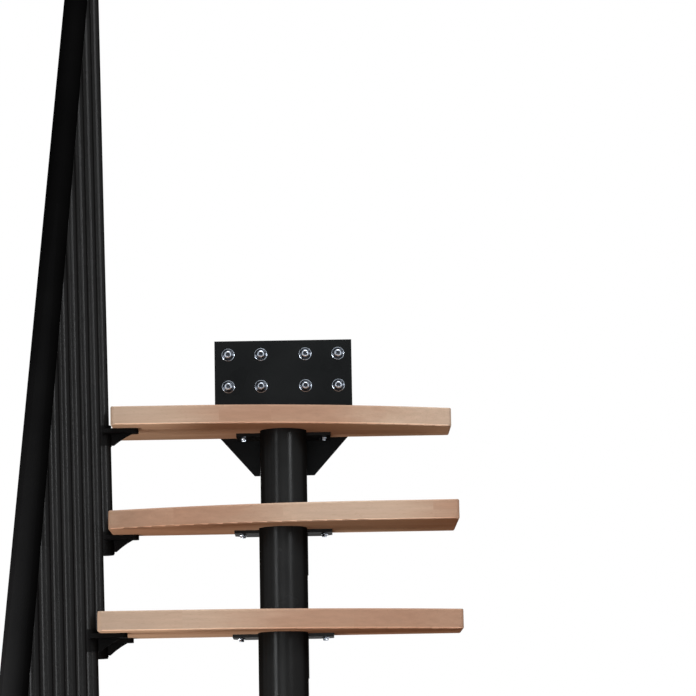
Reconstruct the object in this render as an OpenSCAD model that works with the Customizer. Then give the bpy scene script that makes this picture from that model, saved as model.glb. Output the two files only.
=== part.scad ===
// Space-saving staircase: a single column of stepped steel tubes carries alternating beech treads,
// with a round handrail on balusters along the left side. Millimetres, +Z up, +Y is the way up.

/* [Flight] */
// Number of treads; the upper floor lies one rise above the last one
tread_count = 11; // [3:1:12]
// Height from one tread to the next
rise = 204; // [185:1:235]
// Horizontal step from one tread to the next
going = 150; // [140:1:180]

/* [Treads] */
// Width of a tread across the flight
tread_w = 650; // [560:5:800]
// Thickness of a tread
tread_t = 36; // [28:1:44]
// Depth of a tread at its deep end
tread_deep = 227; // [210:1:260]
// Depth of a tread at its shallow end
tread_shallow = 131; // [110:1:160]
// Length of the straight front edge at the deep end, before the front curves back
tread_straight = 132; // [80:1:200]
// Radius of the rounded tread edges
edge_r = 3; // [2:0.5:6]
// Radius of the upright corners of a tread
corner_r = 10; // [4:0.5:14]
// Gap between the back of a tread and the tube behind it
back_gap = 2; // [1:0.5:6]

/* [Columns] */
// Outer diameter of the column tubes
tube_d = 90; // [76:1:100]
// Wall of the column tubes
tube_wall = 3; // [2:0.5:5]
// Width of the arm between one tube and the next
arm_w = 56; // [44:1:64]
// Height of the arm
arm_h = 60; // [40:1:70]
// Wall of the arm, which is open underneath
arm_wall = 6; // [4:0.5:8]
// How far a tube hangs below the arm that holds it
tube_tail = 10; // [4:1:20]
// Gap between the hollow end of an arm and the tube it holds
saddle_gap = 0.2; // [0.1:0.05:0.4]
// Width of the seat plate under a tread
seat_w = 184; // [150:1:220]
// Thickness of the seat plate
seat_t = 6; // [4:0.5:8]
// Corner cut at the back of the seat plate
seat_cut = 18; // [8:1:26]
// Distance of a tread screw from the end of the seat plate
seat_screw_inset = 15; // [10:1:24]
// Diameter of the tread screw holes
seat_screw_d = 6.5; // [5:0.5:8]

/* [Wall plate] */
// Width of the plate that is bolted to the edge of the upper floor
plate_w = 272; // [250:1:320]
// Height of the plate
plate_h = 270; // [250:1:320]
// Thickness of the plate
plate_t = 8; // [6:0.5:12]
// Width of its lower edge, between the two corner cuts
plate_foot_w = 118; // [100:1:160]
// Height of the two corner cuts
plate_cut_h = 87; // [60:1:100]
// How far the plate reaches below the underside of the top tread
plate_drop = 74; // [68:1:100]
// Distance of the four outer bolt holes from the sides of the plate
plate_side_inset = 27; // [16:1:36]
// Span of the four inner bolt holes
plate_inner_span = 88; // [60:1:120]
// Distance between the two rows of bolt holes
plate_row_span = 64; // [50:1:80]
// Distance of the upper row from the top edge
plate_row_inset = 28; // [18:1:36]
// Diameter of the bolt holes in the wall plate
plate_hole_d = 11; // [9:0.5:13]

/* [Floor plate] */
// Width of the square plate on the floor
floor_w = 190; // [160:1:240]
// Thickness of the floor plate
floor_t = 8; // [6:0.5:12]
// Corner cut of the floor plate
floor_cut = 22; // [10:1:28]
// Distance of its bolt holes from the sides of the floor plate
floor_bolt_inset = 26; // [22:1:30]
// Diameter of the bolt holes in the floor plate
floor_hole_d = 12; // [9:0.5:14]

/* [Railing] */
// Diameter of the balusters
baluster_d = 22; // [16:0.5:25]
// Wall of the sleeve round a baluster between two brackets
sleeve_wall = 2.8; // [2:0.2:4]
// Gap between the sleeve and the end of the tread beside it
sleeve_gap = 0.4; // [0.2:0.1:3]
// Distance of a baluster behind the front edge of its tread
baluster_in = 72; // [60:1:76]
// Lean of the balusters away from the flight, in degrees
baluster_lean = 1.2; // [0:0.1:2]
// Diameter of the handrail
rail_d = 43; // [38:0.5:50]
// Height of the handrail's axis above the front edges of the treads
rail_up = 1030; // [850:1:1080]
// How far the handrail runs past the first and last baluster
rail_over = 100; // [60:1:160]
// Length of the rounded caps on the handrail's ends
rail_cap = 14; // [8:1:20]
// Length of the saddle under the handrail
saddle_l = 30; // [24:1:40]

/* [Baluster brackets] */
// Reach of the flange under the tread
flange_l = 49; // [40:1:60]
// Thickness of the flange
flange_t = 8; // [4:0.5:10]
// Width of the flange in front of the baluster
flange_front = 28; // [20:1:36]
// Width of the flange behind the baluster
flange_back = 5; // [3:0.5:5]
// Radius of the flange's inner corners
flange_r = 7; // [3:0.5:10]
// Thickness of the gusset under the flange
web_t = 6; // [4:0.5:8]
// Hollow of the gusset's lower edge
web_hollow = 2; // [1:0.5:5]
// How far the gusset's foot stands out from the collar
web_foot = 5; // [3:0.5:8]
// Height of that foot above the lower end of the collar
web_lift = 2; // [1:0.5:6]
// Wall of the collar round the baluster
collar_wall = 4; // [3:0.5:5]
// How far the collar rises beside the tread
collar_up = 8; // [4:1:16]
// How far the collar hangs below the tread
collar_down = 32; // [24:1:40]
// Thickness of the closed end under a baluster
collar_end = 4; // [3:0.5:6]
// Width of the two rings round a closed end
ring_w = 2.5; // [2:0.5:3]
// How far the rings stand out
ring_out = 1; // [0.5:0.25:1.5]
// Clearance of a baluster in its brackets, all round
fit = 0.2; // [0.1:0.05:0.4]
// Diameter of the round foot under the first baluster
foot_d = 62; // [50:1:80]
// Thickness of that foot
foot_t = 6; // [4:0.5:8]

/* [Hidden] */
$fn = 96;

tube_r = tube_d / 2;
collar_r = baluster_d / 2 + fit + collar_wall;
bore_r = baluster_d / 2 + fit;
slope = atan2(rise, going);

// Back and deep front edge of a tread, measured from the axis of its own tube
tread_back = going - tube_r - back_gap;
tread_front = tread_back - tread_deep;
// The front edge is straight as far as curve_x, then follows an arc to the shallow end
curve_x = -tread_w / 2 + tread_straight;
curve_run = tread_w - tread_straight;
curve_drop = tread_deep - tread_shallow;
curve_r = (curve_run * curve_run + curve_drop * curve_drop) / (2 * curve_drop);

// Place of tread k: tubes stand one going apart, tread tops one rise apart
function tube_y(k) = (k - 1) * going;
function tread_top(k) = k * rise;
function tread_under(k) = k * rise - tread_t;
// Lower end of tube k
function tube_foot(k) = k == 1 ? floor_t : tread_under(k - 1) - seat_t - arm_h - tube_tail;

// Baluster k stands behind the deep front edge of tread k and leans outward from its underside
function baluster_y(k) = tube_y(k) + tread_front + baluster_in;
function baluster_x(lift) = -(tread_w / 2 + baluster_out) - lift * tan(baluster_lean);
// Distance of a baluster's axis from the end of its own tread
baluster_out = sleeve_gap + bore_r + sleeve_wall + rise * tan(baluster_lean);
// Height of the handrail's axis above the underside of the tread that a baluster belongs to
rail_lift = tread_t + rail_up + rise * baluster_in / going;

// Two-digit number for the name of a repeated piece
function two(k) = k < 10 ? str("0", k) : str(k);

black = [0.13, 0.13, 0.14];
grey = [0.24, 0.25, 0.27];
beech = [0.80, 0.62, 0.46];

// Rectangle from a to b whose corners are rounded where asked: at the low side, the high side or both
module rounded(a, b, r, low, high) {
    difference() {
        translate(a) square([b[0] - a[0], b[1] - a[1]]);
        if (low) for (y = [0, 1]) corner([a[0], y == 0 ? a[1] : b[1]], r, 1, y == 0 ? 1 : -1);
        if (high) for (y = [0, 1]) corner([b[0], y == 0 ? a[1] : b[1]], r, -1, y == 0 ? 1 : -1);
    }
}

// What a corner loses when it is rounded
module corner(p, r, sx, sy) {
    translate(p) difference() {
        translate([sx > 0 ? -1 : -r, sy > 0 ? -1 : -r]) square(r + 1);
        translate([sx * r, sy * r]) circle(r);
    }
}

// Square plate with its four corners cut, lying flat
module cut_plate(w, cut, t) {
    h = w / 2;
    c = h - cut;
    linear_extrude(t) polygon([[-c, -h], [c, -h], [h, -c], [h, c], [c, h], [-c, h], [-h, c], [-h, -c]]);
}

// Tread with its deep end at -X, its underside at z = 0 and its tube's axis at the origin
module tread_shape() {
    difference() {
        intersection() {
            union() {
                tread_straight_part();
                tread_curved_part();
            }
            translate([0, tread_back + 1, 0]) rotate([90, 0, 0]) linear_extrude(tread_deep + 2)
                rounded([-tread_w / 2, 0], [tread_w / 2, tread_t], edge_r, true, true);
        }
        translate([0, 0, -1]) linear_extrude(tread_t + 2) {
            corner([-tread_w / 2, tread_front], corner_r, 1, 1);
            corner([-tread_w / 2, tread_back], corner_r, 1, -1);
            corner([tread_w / 2, tread_back], corner_r, -1, -1);
            shallow_corner();
        }
    }
}

// What the corner between the curved front and the shallow end loses when it is rounded
module shallow_corner() {
    run = curve_run - corner_r;
    away = curve_r - corner_r;
    depth = sqrt(away * away - run * run);
    middle = [curve_x + run, tread_front + curve_r - depth];
    touch = middle + corner_r * [run, -depth] / away;
    difference() {
        polygon([
            middle, touch, touch + [corner_r, -corner_r],
            middle + [2 * corner_r, -corner_r], middle + [2 * corner_r, 0]
        ]);
        translate(middle) circle(corner_r);
    }
}

module tread_straight_part() {
    translate([-tread_w / 2, 0, 0]) rotate([90, 0, 90]) linear_extrude(tread_straight)
        rounded([tread_front, 0], [tread_back, tread_t], edge_r, true, true);
}

module tread_curved_part() {
    intersection() {
        translate([curve_x, 0, 0]) rotate([90, 0, 90]) linear_extrude(curve_run)
            rounded([tread_front - 1, 0], [tread_back, tread_t], edge_r, false, true);
        translate([curve_x, tread_front + curve_r, 0]) rotate_extrude($fn = 360)
            rounded([0, 0], [curve_r, tread_t], edge_r, false, true);
    }
}

module tread(k) {
    color(beech) translate([0, tube_y(k), tread_under(k)]) mirror([k % 2 == 0 ? 1 : 0, 0, 0]) tread_shape();
}

// Seat plate under a tread: it reaches from the tube's back to the tread's back edge
module seat() {
    front = tube_r * 0.55;
    back = tread_back - back_gap;
    w = seat_w / 2;
    difference() {
        linear_extrude(seat_t) polygon([
            [-w, front], [w, front], [w, back - seat_cut], [w - seat_cut, back],
            [-w + seat_cut, back], [-w, back - seat_cut]
        ]);
        for (x = [-1, 1]) translate([x * (w - seat_screw_inset), (front + back) / 2, -1])
            cylinder(h = seat_t + 2, d = seat_screw_d);
    }
}

// Tube k with the arm that holds the next tube and the seat plate of its tread, welded together
module column(k) {
    last = k == tread_count;
    low = tube_foot(k);
    top = tread_under(k);
    arm_low = top - seat_t - arm_h;
    reach = going - tube_r;
    color(black) translate([0, tube_y(k), 0]) difference() {
        union() {
            translate([0, 0, low]) cylinder(h = top - low, r = tube_r);
            difference() {
                translate([-arm_w / 2, 0, arm_low]) cube([arm_w, last ? reach : going, arm_h]);
                if (!last) translate([0, going, arm_low - 1])
                    cylinder(h = arm_h + 2, r = tube_r + saddle_gap);
                translate([-arm_w / 2 + arm_wall, tube_r, arm_low - 1])
                    cube([arm_w - 2 * arm_wall, reach - tube_r - arm_wall, arm_h + 1 - arm_wall]);
            }
            translate([0, 0, top - seat_t]) seat();
        }
        translate([0, 0, low + tube_wall]) cylinder(h = top - low, r = tube_r - tube_wall);
    }
}

module floor_plate() {
    bolt = floor_w / 2 - floor_bolt_inset;
    color(black) difference() {
        cut_plate(floor_w, floor_cut, floor_t);
        for (x = [-1, 1], y = [-1, 1]) translate([x * bolt, y * bolt, -1])
            cylinder(h = floor_t + 2, d = floor_hole_d);
    }
}

// Plate behind the top tread, its front face against the last arm
module wall_plate() {
    face = tube_y(tread_count) + going - tube_r;
    low = tread_under(tread_count) - plate_drop;
    high = low + plate_h;
    w = plate_w / 2;
    f = plate_foot_w / 2;
    side = w - plate_side_inset;
    inner = plate_inner_span / 2;
    color(black) translate([0, face + plate_t, 0]) rotate([90, 0, 0]) difference() {
        linear_extrude(plate_t) polygon([
            [-f, low], [f, low], [w, low + plate_cut_h], [w, high], [-w, high], [-w, low + plate_cut_h]
        ]);
        for (x = [-side, -inner, inner, side], row = [0, 1])
            translate([x, high - plate_row_inset - row * plate_row_span, -1])
                cylinder(h = plate_t + 2, d = plate_hole_d);
    }
}

// Frame of baluster k: its axis is the z axis, with z = 0 at the underside of tread k
module along_baluster(k) {
    translate([baluster_x(0), baluster_y(k), tread_under(k)]) rotate([0, -baluster_lean, 0]) children();
}

// Cylinder along the handrail's axis; z = 0 is above the first baluster
module along_rail() {
    translate([baluster_x(rail_lift), baluster_y(1), tread_under(1) + rail_lift])
        rotate([slope - 90, 0, 0]) children();
}

rail_run = (tread_count - 1) * sqrt(rise * rise + going * going);

// The handrail's bar at diameter d
module rail_bar(d) {
    along_rail() translate([0, 0, -rail_over]) cylinder(h = rail_run + 2 * rail_over, d = d);
}

module baluster(k) {
    foot = k == 1 ? tread_under(1) - foot_t : rise + collar_down;
    color(grey) difference() {
        along_baluster(k) translate([0, 0, -foot / cos(baluster_lean)])
            cylinder(h = (foot + rail_lift) / cos(baluster_lean), d = baluster_d);
        rail_bar(rail_d + 2 * fit);
    }
}

module handrail() {
    color(black) rail_bar(rail_d);
}

// Rounded cap with its flat side at z = 0
module rail_end() {
    r = rail_d / 2;
    rotate_extrude() intersection() {
        rounded([-r, -rail_cap], [r, rail_cap], rail_cap * 0.8, true, true);
        square([r, rail_cap]);
    }
}

module handrail_end_caps() {
    color(black) along_rail() {
        translate([0, 0, rail_run + rail_over]) rail_end();
        translate([0, 0, -rail_over]) mirror([0, 0, 1]) rail_end();
    }
}

// Sleeve at the top of each baluster, hollowed to fit the handrail
module handrail_saddles() {
    color(black) for (k = [1:tread_count]) difference() {
        along_baluster(k) translate([0, 0, rail_lift - rail_d / 2 - saddle_l])
            cylinder(h = saddle_l + rail_d / 2, r = collar_r);
        along_baluster(k) translate([0, 0, rail_lift - rail_d - saddle_l])
            cylinder(h = saddle_l + 2 * rail_d, r = bore_r);
        rail_bar(rail_d + fit);
    }
}

// Gusset in the plane of baluster and flange, its lower edge hollowed by an arc
module gusset(reach) {
    p = [collar_r + web_foot, web_lift - collar_down];
    q = [reach, -flange_t / 2];
    chord = norm(q - p);
    r = (chord * chord / 4 + web_hollow * web_hollow) / (2 * web_hollow);
    away = [-(p[1] - q[1]), p[0] - q[0]] / chord;
    middle = (p + q) / 2;
    translate([0, web_t / 2, 0]) rotate([90, 0, 0]) linear_extrude(web_t) difference() {
        polygon([[0, 0], [reach, 0], q, p, [0, p[1]]]);
        translate(middle + away * (r - web_hollow)) circle(r, $fn = 180);
    }
}

// Bracket of baluster k on the underside of tread j; a closed one carries the baluster's lower end
module bracket(k, j, closed) {
    lift = tread_under(j) - tread_under(k);
    x = baluster_x(lift);
    reach = -tread_w / 2 + flange_l - x;
    hang = collar_down + (closed ? collar_end : 0);
    difference() {
        union() {
            translate([x, baluster_y(k), tread_under(j)]) {
                translate([0, 0, -flange_t]) linear_extrude(flange_t)
                    rounded([0, -flange_front], [reach, flange_back], flange_r, false, true);
                gusset(reach - flange_r / 2);
            }
            along_baluster(k) translate([0, 0, lift / cos(baluster_lean)]) {
                translate([0, 0, -hang]) cylinder(h = hang + collar_up, r = collar_r);
                if (closed) for (ring = [0, 1]) translate([0, 0, -hang + (2 * ring + 1) * ring_w])
                    cylinder(h = ring_w, r = collar_r + ring_out);
            }
        }
        along_baluster(k) translate([0, 0, lift / cos(baluster_lean) - collar_down])
            cylinder(h = collar_down + collar_up + 1, r = bore_r);
        if (!closed) along_baluster(k) translate([0, 0, lift / cos(baluster_lean) - hang - 1])
            cylinder(h = hang, r = bore_r);
        translate([-tread_w / 2 - fit, baluster_y(k) - flange_front - 1, tread_under(j)])
            cube([flange_l, flange_front + flange_back + 2 * collar_r, collar_up + 1]);
    }
}

// Sleeves that fill the balusters' length between a front bracket and the collar below it
module baluster_sleeves() {
    color(grey) for (k = [1:2:tread_count]) {
        low = collar_up - rise / cos(baluster_lean);
        first = collar_down - (tread_under(1) - foot_t / 2) / cos(baluster_lean);
        foot = k == 1 ? first : low;
        along_baluster(k) difference() {
            translate([0, 0, foot]) cylinder(h = -collar_down - foot, r = bore_r + sleeve_wall);
            translate([0, 0, foot - 1]) cylinder(h = 2 - collar_down - foot, r = bore_r);
        }
    }
}

module front_baluster_brackets() {
    color(black) for (k = [1:2:tread_count]) bracket(k, k, false);
}

module rear_baluster_brackets() {
    color(black) for (k = [2:tread_count]) bracket(k, k - 1, true);
}

// Round foot on the floor with a collar for the first baluster
module baluster_foot() {
    color(black) difference() {
        union() {
            translate([baluster_x(foot_t - tread_under(1)), baluster_y(1), 0])
                cylinder(h = foot_t, d = foot_d);
            along_baluster(1) translate([0, 0, -(tread_under(1) - foot_t / 2) / cos(baluster_lean)])
                cylinder(h = collar_down, r = collar_r);
        }
        along_baluster(1) translate([0, 0, -(tread_under(1) - foot_t) / cos(baluster_lean)])
            cylinder(h = collar_down + 1, r = bore_r);
    }
}

floor_plate();
wall_plate();
handrail();
handrail_end_caps();
handrail_saddles();
front_baluster_brackets();
rear_baluster_brackets();
baluster_sleeves();
baluster_foot();
for (k = [1:tread_count]) column(k);
for (k = [1:tread_count]) tread(k);
for (k = [1:tread_count]) baluster(k);
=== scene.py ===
import math
from collections import namedtuple

import bmesh
import bpy
from mathutils import Matrix, Vector


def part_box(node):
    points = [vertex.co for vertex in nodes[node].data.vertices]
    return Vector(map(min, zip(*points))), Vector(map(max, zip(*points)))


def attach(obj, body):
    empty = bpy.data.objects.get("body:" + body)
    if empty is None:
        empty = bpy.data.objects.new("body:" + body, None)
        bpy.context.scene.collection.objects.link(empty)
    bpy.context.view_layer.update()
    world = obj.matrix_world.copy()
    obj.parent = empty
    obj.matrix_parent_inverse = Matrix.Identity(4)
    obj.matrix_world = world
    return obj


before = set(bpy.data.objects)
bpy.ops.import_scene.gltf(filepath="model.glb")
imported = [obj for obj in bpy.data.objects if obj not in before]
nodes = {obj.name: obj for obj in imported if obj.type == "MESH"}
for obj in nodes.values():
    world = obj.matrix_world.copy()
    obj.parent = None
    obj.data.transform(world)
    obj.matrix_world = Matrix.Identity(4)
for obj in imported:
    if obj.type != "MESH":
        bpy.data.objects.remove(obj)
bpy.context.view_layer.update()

# Sizes of the flight in metres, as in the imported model
COUNT = 11
RISE = 0.204
GOING = 0.150
SEAT_T = 0.006

# Places of the fasteners: from the edges of their plates, and from the axis of each tube
PLATE_SIDE_INSET = 0.027
PLATE_INNER_SPAN = 0.088
PLATE_ROW_INSET = 0.028
PLATE_ROW_SPAN = 0.064
FLOOR_BOLT_INSET = 0.026
SEAT_SCREW_X = 0.077
SEAT_SCREW_Y = 0.0629

# Bolt flange, with its rim as shares of its thickness and radius
FLANGE_R = 0.0127
FLANGE_T = 0.0024
FLANGE_SLOPE = 15.0  # degrees
FLANGE_RIM = [(0.0, 1.0), (0.6, 1.0), (0.9, 0.975), (1.0, 0.93)]

# Bolt head, with a dome along an arc in degrees
HEAD_R = 0.0082
HEAD_H = 0.0058
DOME_FROM = 12.0
DOME_TO = 75.0
DOME_STEPS = 6
DOME_SHARE = 0.55  # of the radius, which follows the arc

# Bolt socket
SOCKET_ACROSS = 0.0084
SOCKET_LIP_T = 0.0003
SOCKET_LIP_R = 1.02  # share of the radius at its corners
SOCKET_WALL_H = 0.75  # share of the head's height
SOCKET_BOTTOM_H = 0.8  # share of the head's height
SOCKET_BOTTOM_R = 0.3  # share of the radius at its corners

# Tread screw, with its flange and its dished top as shares of its height and of their radius
SCREW_ACROSS = 0.0090
SCREW_H = 0.0058
SCREW_FLANGE_R = 0.0070
SCREW_FLANGE = [(0.0, 1.0), (0.10, 1.0), (0.22, 0.94)]
SCREW_FOOT = 0.26  # share of its height
SCREW_CORNER = 1.02  # share of the radius at its corners
SCREW_BEVEL = 0.78  # share of its height
SCREW_BEVEL_STEPS = 4
SCREW_TOP_R = 0.47  # share of its size across the flats
SCREW_DISH = [(1.0, 0.82), (0.93, 0.62)]

# Turned rings: their sides, the turns of the fasteners, and the sharpest edge that is smooth, in degrees
SEGMENTS = 48
FIRST_TURN = 11.0
NEXT_TURN = 37.0
SMOOTH_ANGLE = 28.0

# Camera at the photograph's viewing angle
CAM_PLACE = Vector((0.0867, -3.7037, 1.4967))
CAM_YAW = 0.00804
CAM_PITCH = 0.16605
CAM_ROLL = -0.01799
CAM_FOCUS_PX = 2709.6
FRAME_PX = 696
SENSOR_MM = 36.0

# Range that a noise mostly lies in; each noise below is a scale, a detail and a roughness
NOISE_RANGE = (0.3, 0.7)

# Glued staves of a tread
STAVE_W = 0.044
STAVE_L = 0.36
STAVE_TONE = 0.05
ROW_SEEDS = (3.7, 1.3)
SLIDE_SEED = 5.1

# Slow wave of tone along a tread, which differs by the tread's step from the second highest
WAVE_L = 0.62
WAVE_TONE = 0.30
WAVE_STARTS = (0.595, 0.095, 0.06)  # times the step squared, times the step, and for all
WAVE_CROWDING = (0.876, 0.23)  # for all, and times a cosine
CROWDING_ANGLE = (2.0, -1.0)  # of the cosine: times the step, and for all

# Grain of a tread, and broad bands in it
GRAIN_STRETCH = (1.6, 26.0, 26.0)
GRAIN_SHIFT = 7.0  # at most, from stave to stave
GRAIN_NOISE = (6.0, 5.0, 0.62)
GRAIN_RANGE = (0.25, 0.75)
GRAIN_SHADES = (0.91, 1.08)
BAND_NOISE = (1.7, 2.0, 0.5)
BAND_TONE = 0.10

# Short flecks in the grain
FLECK_STRETCH = (130.0, 800.0, 800.0)
FLECK_NOISE = (1.0, 1.0, 0.4)
FLECK_RANGE = (0.62, 0.72)
FLECK_COLOUR = (0.24, 0.125, 0.075, 1.0)
FLECK_STRENGTH = 0.16
FLECK_DEPTH = 0.4  # beside the grain's 1

# Beech: tones from dark to light, range of roughness, strength and height of the bump
BEECH_TONES = [
    (0.0, (0.405, 0.242, 0.166)), (0.35, (0.455, 0.289, 0.204)),
    (0.7, (0.548, 0.403, 0.303)), (1.0, (0.585, 0.452, 0.352))]
BEECH_ROUGH = (0.50, 0.60)
BEECH_BUMP = (0.10, 0.0005)

# Painted highlight along the lower edges of a tread, between two ranges of how far the surface looks down
EDGE_HIGHLIGHT = 0.85
EDGE_START = (0.05, 0.30)
EDGE_END = (0.50, 0.88)

# Coats: name, darkest and lightest colour, roughness, metallic share, scale and strength of the skin
# The plates and the tubes share one black coat; the plates' copy is darker and the tubes' copy lighter only
# to match how each is lit: painted shade and painted light
PLATE_COAT = ("plate_coat", (0.0068, 0.0074, 0.0078), (0.0084, 0.0091, 0.0095), 0.30, 0.5, 420.0, 0.03)
TUBE_COAT = ("tube_coat", (0.0155, 0.0160, 0.0163), (0.0186, 0.0192, 0.0197), 0.24, 0.5, 420.0, 0.03)
GREY_COAT = ("grey_coat", (0.0160, 0.0163, 0.0166), (0.0194, 0.0197, 0.0200), 0.27, 0.5, 420.0, 0.03)
RAIL_COAT = ("rail_black", (0.0026, 0.0026, 0.0027), (0.0037, 0.0037, 0.0038), 0.50, 0.3, 400.0, 0.04)
MOULDED = ("moulded_black", (0.0060, 0.0060, 0.0062), (0.0085, 0.0085, 0.0088), 0.45, 0.4, 800.0, 0.06)

# What all coats share
CLOUD_NOISE = (9.0, 3.0, 0.55)
CLOUD_SHARE = 0.7  # of the change in colour; the rest is the skin's
CLOUD_GLOSS = 0.04  # change in roughness
SKIN_NOISE = (2.0, 0.5)  # without the scale
SKIN_H = 0.0004
COAT_EDGE = (0.05, 0.05, 0.05, 1.0)  # tint of the gleam at a grazing angle

# Painted light on the rail, paler toward its lower end and on its outer side, with its strengths as powers
# of e
PAINTED_LIGHT_HEIGHTS = (1.60, 2.50)  # full below the first, none above the second
PAINTED_LIGHT_PALER = 1.3
PAINTED_LIGHT_OUTSIDE = 1.4  # more than that on the outer side, less on the inner side

# Zinc: name, darkest and lightest colour, and roughness
ZINC = ("zinc", (0.44, 0.50, 0.58), (0.67, 0.74, 0.84), 0.16)
# The second zinc is painted dark: a painted dark reflection on the bolts' flanges and painted shade in
# their sockets
ZINC_PAINTED_DARK = ("zinc_painted_dark", (0.015, 0.017, 0.021), (0.030, 0.033, 0.040), 0.18)

# What the plain zinc and the zinc painted dark share
ZINC_NOISE = (140.0, 3.0, 0.6)
ZINC_GLOSS = 0.06  # change in roughness
MARK_NOISE = (900.0, 2.0, 0.5)
MARK_BUMP = (0.06, 0.0002)

# Floor: pale where it is seen, warm and darker where it throws light back, and white far away
FLOOR_HALF = 14.0
FLOOR_STEPS = 8
FLOOR_PLACE = (0.0, 0.8, -0.0005)
FLOOR_NOISE = (0.8, 3.0, 0.5)
FLOOR_DARK = (0.80, 0.80, 0.80)
FLOOR_LIGHT = (0.84, 0.84, 0.84)
FLOOR_WARM = (0.195, 0.113, 0.067, 1.0)
FLOOR_ROUGH = 0.7
FLOOR_FADE = (1.2, 5.0)  # distances from its middle

# Lamps: name, place, size, watts, spread in degrees, tint, and whether the lamp shows only as a gleam
LIGHT_AIM = Vector((0.0, 0.9, 1.7))
WIDE = 180.0
NARROW = 76.0  # keeps the light of low_left off the floor
PLAIN = (1.0, 1.0, 1.0)
WARM = (1.0, 0.86, 0.74)
LAMPS = [
    ("front", (1.5, -7.6, 6.8), (5.5, 3.5), 565.0, WIDE, PLAIN, False),
    ("low_fill", (-0.6, -8.0, 0.75), (4.0, 1.4), 190.0, WIDE, PLAIN, False),
    ("low_left", (-1.6, 1.1, 0.40), (0.7, 0.7), 5.5, NARROW, WARM, False),
    ("top", (0.5, 1.0, 7.5), (4.0, 4.0), 150.0, WIDE, PLAIN, False),
    ("back", (-2.0, 8.6, 4.2), (4.0, 2.5), 230.0, WIDE, PLAIN, False),
    ("left_strip", (-4.3, -4.9, 1.6), (1.2, 3.0), 190.0, WIDE, PLAIN, True),
    ("right_strip", (4.3, -4.9, 3.7), (1.2, 1.5), 115.0, WIDE, PLAIN, True)]

# World: soft light whose strength grows with the height of its direction
WORLD_HEIGHTS = (-0.2, 0.6)
WORLD_STRENGTHS = (0.05, 0.45)
WHITE = (1.0, 1.0, 1.0, 1.0)


# Objects

def add_object(name, data):
    thing = bpy.data.objects.new(name, data)
    bpy.context.scene.collection.objects.link(thing)
    return thing


def add_mesh(name, mesh, materials):
    """Object from a finished bmesh, which is freed."""
    data = bpy.data.meshes.new(name)
    mesh.normal_update()
    mesh.to_mesh(data)
    mesh.free()
    for material in materials:
        data.materials.append(material)
    return add_object(name, data)


# Camera

def make_camera():
    """Camera from its place, three angles in radians and a focal length in the photograph's pixels."""
    data = bpy.data.cameras.new("camera")
    data.sensor_width = SENSOR_MM
    data.lens = CAM_FOCUS_PX * SENSOR_MM / FRAME_PX
    camera = add_object("camera", data)
    level = math.cos(CAM_PITCH)
    ahead = Vector((math.sin(CAM_YAW) * level, math.cos(CAM_YAW) * level, math.sin(CAM_PITCH)))
    right = Vector((math.cos(CAM_YAW), -math.sin(CAM_YAW), 0.0))
    up = right.cross(ahead)
    x_axis = math.cos(CAM_ROLL) * right + math.sin(CAM_ROLL) * up
    y_axis = math.cos(CAM_ROLL) * up - math.sin(CAM_ROLL) * right
    turn = Matrix((x_axis, y_axis, -ahead)).transposed().to_4x4()
    camera.matrix_world = Matrix.Translation(CAM_PLACE) @ turn
    bpy.context.scene.camera = camera


# Node trees

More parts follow.
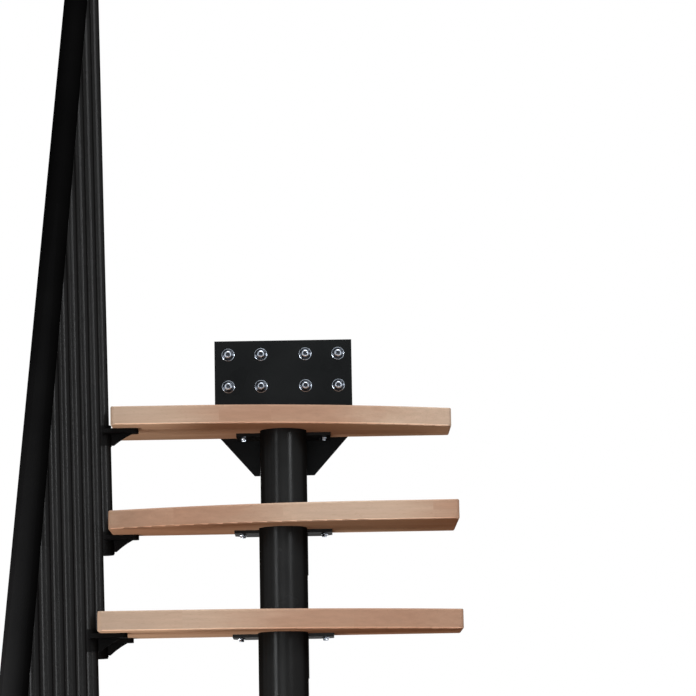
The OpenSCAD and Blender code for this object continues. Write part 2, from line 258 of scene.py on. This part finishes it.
class Graph:
    """A node tree with short calls for the nodes used here."""

    def __init__(self, owner):
        owner.use_nodes = True
        self.tree = owner.node_tree
        self.tree.nodes.clear()

    def new(self, kind):
        return self.tree.nodes.new("ShaderNode" + kind)

    def put(self, socket, value):
        if isinstance(value, bpy.types.NodeSocket):
            self.tree.links.new(value, socket)
        else:
            socket.default_value = value

    def math(self, operation, a, b=0.0):
        node = self.new("Math")
        node.operation = operation
        self.put(node.inputs[0], a)
        self.put(node.inputs[1], b)
        return node.outputs[0]

    def add(self, a, b):
        return self.math("ADD", a, b)

    def times(self, a, b):
        return self.math("MULTIPLY", a, b)

    def place(self, kind="Object"):
        return self.new("TexCoord").outputs[kind]

    def split(self, vector):
        node = self.new("SeparateXYZ")
        self.put(node.inputs[0], vector)
        return node.outputs

    def join(self, x, y, z):
        node = self.new("CombineXYZ")
        for socket, value in zip(node.inputs, (x, y, z)):
            self.put(socket, value)
        return node.outputs[0]

    def noise(self, vector, scale, detail, rough):
        node = self.new("TexNoise")
        for key, value in (("Vector", vector), ("Scale", scale), ("Detail", detail), ("Roughness", rough)):
            self.put(node.inputs[key], value)
        return node.outputs["Fac"]

    def chance(self, x, y, z):
        """Random number and random colour that belong to a place."""
        node = self.new("TexWhiteNoise")
        self.put(node.inputs["Vector"], self.join(x, y, z))
        return node.outputs["Value"], node.outputs["Color"]

    def spread(self, value, low, high, to_low, to_high):
        node = self.new("MapRange")
        keys = ("Value", "From Min", "From Max", "To Min", "To Max")
        for key, item in zip(keys, (value, low, high, to_low, to_high)):
            self.put(node.inputs[key], item)
        return node.outputs[0]

    def spread_noise(self, noise, to_low, to_high):
        return self.spread(noise, *NOISE_RANGE, to_low, to_high)

    def ramp(self, value, stops):
        node = self.new("ValToRGB")
        self.put(node.inputs[0], value)
        points = node.color_ramp.elements
        while len(points) < len(stops):
            points.new(0.5)
        for point, (place, colour) in zip(points, stops):
            point.position = place
            point.color = (*colour, 1.0)
        return node.outputs[0]

    def ramp_noise(self, noise, dark, light):
        return self.ramp(noise, list(zip(NOISE_RANGE, (dark, light))))

    def mix(self, factor, a, b, kind="MIX"):
        node = self.new("Mix")
        node.data_type = "RGBA"
        node.blend_type = kind
        colours = [socket for socket in node.inputs if socket.type == "RGBA"]
        for socket, value in zip((node.inputs[0], *colours), (factor, a, b)):
            self.put(socket, value)
        return next(socket for socket in node.outputs if socket.type == "RGBA")

    def shade(self, colour, factor):
        """Colour times a number."""
        return self.mix(1.0, colour, self.join(factor, factor, factor), "MULTIPLY")

    def mix_shaders(self, factor, a, b):
        node = self.new("MixShader")
        for socket, value in zip(node.inputs, (factor, a.outputs[0], b.outputs[0])):
            self.put(socket, value)
        return node

    def seen(self):
        """1 for what the camera sees directly, in a reflection or through glass, else 0."""
        path = self.new("LightPath").outputs
        mirrored = self.math("MAXIMUM", path["Is Glossy Ray"], path["Is Transmission Ray"])
        return self.math("MAXIMUM", path["Is Camera Ray"], mirrored)


class Surface(Graph):
    """A material with one principled shader."""

    def __init__(self, name):
        self.material = bpy.data.materials.new(name)
        super().__init__(self.material)
        self.out = self.new("OutputMaterial")
        self.shader = self.new("BsdfPrincipled")
        self.put(self.out.inputs[0], self.shader.outputs[0])

    def set(self, key, value):
        self.put(self.shader.inputs[key], value)

    def bump(self, height, strength, distance):
        node = self.new("Bump")
        for key, value in (("Strength", strength), ("Distance", distance), ("Height", height)):
            self.put(node.inputs[key], value)
        self.set("Normal", node.outputs[0])


# Beech

def stave_luck(g, x, depth, tread):
    """Three random numbers for the stave that a point lies in."""
    shift, _ = g.chance(tread, *ROW_SEEDS)
    row = g.math("FLOOR", g.add(g.math("DIVIDE", depth, STAVE_W), shift))
    slide, _ = g.chance(tread, row, SLIDE_SEED)
    stave = g.math("FLOOR", g.add(g.math("DIVIDE", x, STAVE_L), slide))
    _, colour = g.chance(tread, row, stave)
    return g.split(colour)


def tone_wave(g, x, tread):
    """Slow change of tone along a tread, with a start and a length of its own on each tread."""
    step = g.math("SUBTRACT", tread, COUNT - 1.0)
    by_square, by_step, for_all = WAVE_STARTS
    start = g.add(g.times(g.add(g.times(step, by_square), by_step), step), for_all)
    cosine = g.math("COSINE", g.add(g.times(step, CROWDING_ANGLE[0]), CROWDING_ANGLE[1]))
    crowding = g.add(g.times(cosine, WAVE_CROWDING[1]), WAVE_CROWDING[0])
    waves = g.add(g.times(g.math("DIVIDE", x, WAVE_L), crowding), start)
    return g.math("SINE", g.times(waves, 2.0 * math.pi))


def edge_highlight_mask(g):
    """1 half way round the rounded lower edges, where a highlight is painted, 0 on flat faces."""
    down = g.times(g.split(g.place("Normal"))[2], -1.0)
    return g.times(g.spread(down, *EDGE_START, 0.0, 1.0), g.spread(down, *EDGE_END, 1.0, 0.0))


def make_beech():
    """Beech with a dull finish: glued staves, a slow change of tone, fine grain and short flecks."""
    g = Surface("beech")
    x, y, z = g.split(g.place())
    tread = g.math("FLOOR", g.math("DIVIDE", g.add(z, RISE / 2.0), RISE))
    depth = g.math("SUBTRACT", y, g.times(tread, GOING))
    here = (x, depth, z)
    luck = stave_luck(g, x, depth, tread)
    shift = g.times(luck[1], GRAIN_SHIFT)
    along = g.join(*[g.add(g.times(way, factor), shift) for way, factor in zip(here, GRAIN_STRETCH)])
    grain = g.noise(along, *GRAIN_NOISE)
    band = g.noise(along, *BAND_NOISE)
    tone = g.spread(luck[0], 0.0, 1.0, 0.5 - STAVE_TONE, 0.5 + STAVE_TONE)
    tone = g.add(g.times(tone_wave(g, x, tread), WAVE_TONE), tone)
    tone = g.add(tone, g.spread_noise(band, -BAND_TONE, BAND_TONE))
    # painted highlight along the lower edges of the tread
    highlight_gain = g.add(g.times(edge_highlight_mask(g), EDGE_HIGHLIGHT), 1.0)
    shade = g.times(g.spread(grain, *GRAIN_RANGE, *GRAIN_SHADES), highlight_gain)
    toned = g.shade(g.ramp(tone, BEECH_TONES), shade)
    fleck_place = g.join(*[g.times(way, factor) for way, factor in zip(here, FLECK_STRETCH)])
    fleck = g.spread(g.noise(fleck_place, *FLECK_NOISE), *FLECK_RANGE, 0.0, 1.0)
    g.set("Base Color", g.mix(g.times(fleck, FLECK_STRENGTH), toned, FLECK_COLOUR))
    g.set("Roughness", g.spread_noise(grain, *BEECH_ROUGH))
    g.set("Specular IOR Level", 0.0)
    g.bump(g.add(grain, g.times(fleck, -FLECK_DEPTH)), *BEECH_BUMP)
    return g.material


# Metal and plastic

def painted_light_paler(g):
    """How many times paler the rail is painted at a point: painted light toward its lower end and on its
    outer side.
    """
    low_share = g.spread(g.split(g.place())[2], *PAINTED_LIGHT_HEIGHTS, 1.0, 0.0)
    inward = g.split(g.place("Normal"))[0]
    return g.math("EXPONENT", g.times(low_share, g.add(g.times(inward, -PAINTED_LIGHT_OUTSIDE), PAINTED_LIGHT_PALER)))


def make_coat(name, dark, light, rough, metal, skin_scale, skin_strength, painted_light=False):
    """Powder coat or moulded plastic: a fine skin with a little cloudiness in colour and gloss."""
    g = Surface(name)
    cloud = g.noise(g.place(), *CLOUD_NOISE)
    skin = g.noise(g.place(), skin_scale, *SKIN_NOISE)
    colour = g.ramp_noise(g.add(g.times(cloud, CLOUD_SHARE), g.times(skin, 1.0 - CLOUD_SHARE)), dark, light)
    # painted light on the rail: paler toward its lower end and on its outer side
    if painted_light:
        colour = g.shade(colour, painted_light_paler(g))
    g.set("Base Color", colour)
    g.set("Roughness", g.spread_noise(cloud, rough - CLOUD_GLOSS, rough + CLOUD_GLOSS))
    g.set("Metallic", metal)
    g.set("Specular IOR Level", 0.0)
    g.set("Specular Tint", COAT_EDGE)
    g.bump(skin, skin_strength, SKIN_H)
    return g.material


def make_zinc(name, dark, light, rough):
    """Zinc plating with a faint bluish cast and small handling marks."""
    g = Surface(name)
    cloud = g.noise(g.place(), *ZINC_NOISE)
    g.set("Base Color", g.ramp_noise(cloud, dark, light))
    g.set("Roughness", g.spread_noise(cloud, rough - ZINC_GLOSS, rough + ZINC_GLOSS))
    g.set("Metallic", 1.0)
    g.bump(g.noise(g.place(), *MARK_NOISE), *MARK_BUMP)
    return g.material


def dress(prefixes, material):
    """Gives a material to the solids whose names start with one of the prefixes."""
    for name, piece in nodes.items():
        if name.startswith(prefixes):
            piece.data.materials.clear()
            piece.data.materials.append(material)


# Fasteners

# A ring of a turned shape, a hexagon if it has a size across flats, and painted dark or not up to the next
# ring, as painted shade and a painted dark reflection
Ring = namedtuple("Ring", ("height", "radius", "across", "dark"), defaults=(None, False))


def hexagon(angle, across):
    """Radius of a hexagon of that size across its flats, in one direction."""
    wedge = math.radians(60.0)
    return across / 2.0 / math.cos((angle + wedge / 2.0) % wedge - wedge / 2.0)


def ring_point(ring, angle):
    r = ring.radius
    if ring.across is not None:
        r = min(r, hexagon(angle, ring.across))
    return Vector((r * math.cos(angle), r * math.sin(angle), ring.height))


def add_turned(mesh, rings, place):
    """Adds a turned shape to a bmesh, closed at both ends."""
    angles = [2.0 * math.pi * i / SEGMENTS for i in range(SEGMENTS)]
    loops = [[mesh.verts.new(place @ ring_point(ring, angle)) for angle in angles] for ring in rings]
    for low, high, ring in zip(loops, loops[1:], rings):
        for i in range(SEGMENTS):
            j = (i + 1) % SEGMENTS
            mesh.faces.new((low[i], low[j], high[j], high[i])).material_index = int(ring.dark)
    mesh.faces.new(list(reversed(loops[0])))
    mesh.faces.new(loops[-1]).material_index = int(rings[-1].dark)


def bolt_rings():
    """Conical flange with a bright rim, and a low domed head with a hexagon socket; the flange's flat and
    the socket are painted dark, as a painted dark reflection and painted shade.
    """
    rings = [Ring(FLANGE_T * up, FLANGE_R * out) for up, out in FLANGE_RIM]
    rim = rings.pop()
    foot = rim.height + (rim.radius - HEAD_R) * math.tan(math.radians(FLANGE_SLOPE))
    rings += [rim._replace(dark=True), Ring(foot, HEAD_R, dark=True)]
    for step in range(DOME_STEPS + 1):
        angle = math.radians(DOME_FROM + (DOME_TO - DOME_FROM) * step / DOME_STEPS)
        radius = HEAD_R * (1.0 - DOME_SHARE + DOME_SHARE * math.cos(angle))
        rings.append(Ring(foot + HEAD_H * math.sin(angle), radius))
    top = rings[-1].height
    corner = SOCKET_ACROSS / math.sqrt(3.0)
    return rings + [
        Ring(top, corner * SOCKET_LIP_R),
        Ring(top - SOCKET_LIP_T, corner, SOCKET_ACROSS, True),
        Ring(top - HEAD_H * SOCKET_WALL_H, corner, SOCKET_ACROSS, True),
        Ring(top - HEAD_H * SOCKET_BOTTOM_H, corner * SOCKET_BOTTOM_R, dark=True)]


def screw_rings():
    """Hexagon head on a thin round flange, its upper corners turned away, its top slightly dished."""
    corner = SCREW_ACROSS / math.sqrt(3.0)
    top_r = SCREW_ACROSS * SCREW_TOP_R
    rings = [Ring(SCREW_H * up, SCREW_FLANGE_R * out) for up, out in SCREW_FLANGE]
    rings.append(Ring(SCREW_H * SCREW_FOOT, corner * SCREW_CORNER, SCREW_ACROSS))
    for step in range(SCREW_BEVEL_STEPS + 1):
        share = step / SCREW_BEVEL_STEPS
        height = SCREW_H * (SCREW_BEVEL + (1.0 - SCREW_BEVEL) * share)
        rings.append(Ring(height, corner + (top_r - corner) * share, SCREW_ACROSS))
    return rings + [Ring(SCREW_H * up, top_r * out) for up, out in SCREW_DISH]


def make_fasteners(name, places, rings, materials):
    """One piece with the same fastener at each place, each turned further than the one before."""
    mesh = bmesh.new()
    for i, place in enumerate(places):
        add_turned(mesh, rings, place @ Matrix.Rotation(math.radians(NEXT_TURN * i + FIRST_TURN), 4, "Z"))
    piece = add_mesh(name, mesh, materials)
    for face in piece.data.polygons:
        face.use_smooth = True
    piece.data.set_sharp_from_angle(angle=math.radians(SMOOTH_ANGLE))
    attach(piece, "root")


def add_wall_bolts(materials):
    low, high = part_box("wall_plate")
    side = high.x - PLATE_SIDE_INSET
    inner = PLATE_INNER_SPAN / 2.0
    upper = high.z - PLATE_ROW_INSET
    to_front = Matrix.Rotation(math.radians(90.0), 4, "X")
    places = [Matrix.Translation((x, low.y, z)) @ to_front
              for z in (upper, upper - PLATE_ROW_SPAN) for x in (-side, -inner, inner, side)]
    make_fasteners("wall_bolts", places, bolt_rings(), materials)


def add_tread_screws(materials):
    down = Matrix.Rotation(math.radians(180.0), 4, "X")
    places = []
    for k in range(1, COUNT + 1):
        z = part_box("tread_%02d" % k)[0].z - SEAT_T
        y = (k - 1) * GOING + SEAT_SCREW_Y
        places += [Matrix.Translation((x, y, z)) @ down for x in (-SEAT_SCREW_X, SEAT_SCREW_X)]
    make_fasteners("tread_screws", places, screw_rings(), materials)


def add_floor_bolts(materials):
    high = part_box("floor_plate")[1]
    reach = high.x - FLOOR_BOLT_INSET
    places = [Matrix.Translation((x, y, high.z)) for x in (-reach, reach) for y in (-reach, reach)]
    make_fasteners("floor_bolts", places, bolt_rings(), materials)


# Floor, lamps and world

def make_floor_paint():
    """Pale paint that turns white away from the part, for what is seen only."""
    g = Surface("floor_paint")
    here = g.place()
    seen = g.seen()
    pale = g.ramp_noise(g.noise(here, *FLOOR_NOISE), FLOOR_DARK, FLOOR_LIGHT)
    g.set("Base Color", g.mix(seen, FLOOR_WARM, pale))
    g.set("Roughness", FLOOR_ROUGH)
    g.set("Specular IOR Level", 0.0)
    x, y, _ = g.split(here)
    away = g.math("SQRT", g.add(g.times(x, x), g.times(y, y)))
    fade = g.times(seen, g.spread(away, *FLOOR_FADE, 0.0, 1.0))
    g.put(g.out.inputs[0], g.mix_shaders(fade, g.shader, g.new("Emission")).outputs[0])
    return g.material


def make_floor():
    mesh = bmesh.new()
    lines = [FLOOR_HALF * (2.0 * i / FLOOR_STEPS - 1.0) for i in range(FLOOR_STEPS + 1)]
    grid = [[mesh.verts.new((x, y, 0.0)) for x in lines] for y in lines]
    for near, far in zip(grid, grid[1:]):
        for i in range(FLOOR_STEPS):
            mesh.faces.new((near[i], near[i + 1], far[i + 1], far[i]))
    floor = add_mesh("floor", mesh, [make_floor_paint()])
    floor.location = FLOOR_PLACE


def make_lamp(name, place, size, watts, spread, tint, only_gleam):
    data = bpy.data.lights.new(name, "AREA")
    data.shape = "RECTANGLE"
    data.size, data.size_y = size
    data.energy = watts
    data.spread = math.radians(spread)
    data.color = tint
    lamp = add_object(name, data)
    lamp.location = place
    lamp.rotation_mode = "QUATERNION"
    lamp.rotation_quaternion = (LIGHT_AIM - Vector(place)).to_track_quat("-Z", "Y")
    lamp.visible_diffuse = not only_gleam


def make_world():
    """Soft light from above for the part, plain white for what is seen behind it."""
    world = bpy.data.worlds.new("world")
    bpy.context.scene.world = world
    g = Graph(world)
    soft = g.new("Background")
    white = g.new("Background")
    height = g.split(g.place("Generated"))[2]
    g.put(soft.inputs["Color"], WHITE)
    g.put(soft.inputs["Strength"], g.spread(height, *WORLD_HEIGHTS, *WORLD_STRENGTHS))
    g.put(white.inputs["Color"], WHITE)
    g.put(white.inputs["Strength"], 1.0)
    g.put(g.new("OutputWorld").inputs[0], g.mix_shaders(g.seen(), soft, white).outputs[0])


# The scene

make_camera()
dress(("tread_",), make_beech())
dress(("floor_plate", "wall_plate"), make_coat(*PLATE_COAT))
dress(("column_",), make_coat(*TUBE_COAT))
dress(("baluster_",), make_coat(*GREY_COAT))
# the rail gets painted light, paler toward its lower end and on its outer side
dress(("handrail",), make_coat(*RAIL_COAT, painted_light=True))
dress(("handrail_", "front_", "rear_", "baluster_foot"), make_coat(*MOULDED))
# the second zinc is the painted dark reflection and painted shade of the bolts
zincs = (make_zinc(*ZINC), make_zinc(*ZINC_PAINTED_DARK))
add_wall_bolts(zincs)
add_tread_screws(zincs)
add_floor_bolts(zincs)
make_floor()
for lamp in LAMPS:
    make_lamp(*lamp)
make_world()
bpy.context.scene.view_settings.view_transform = "Standard"
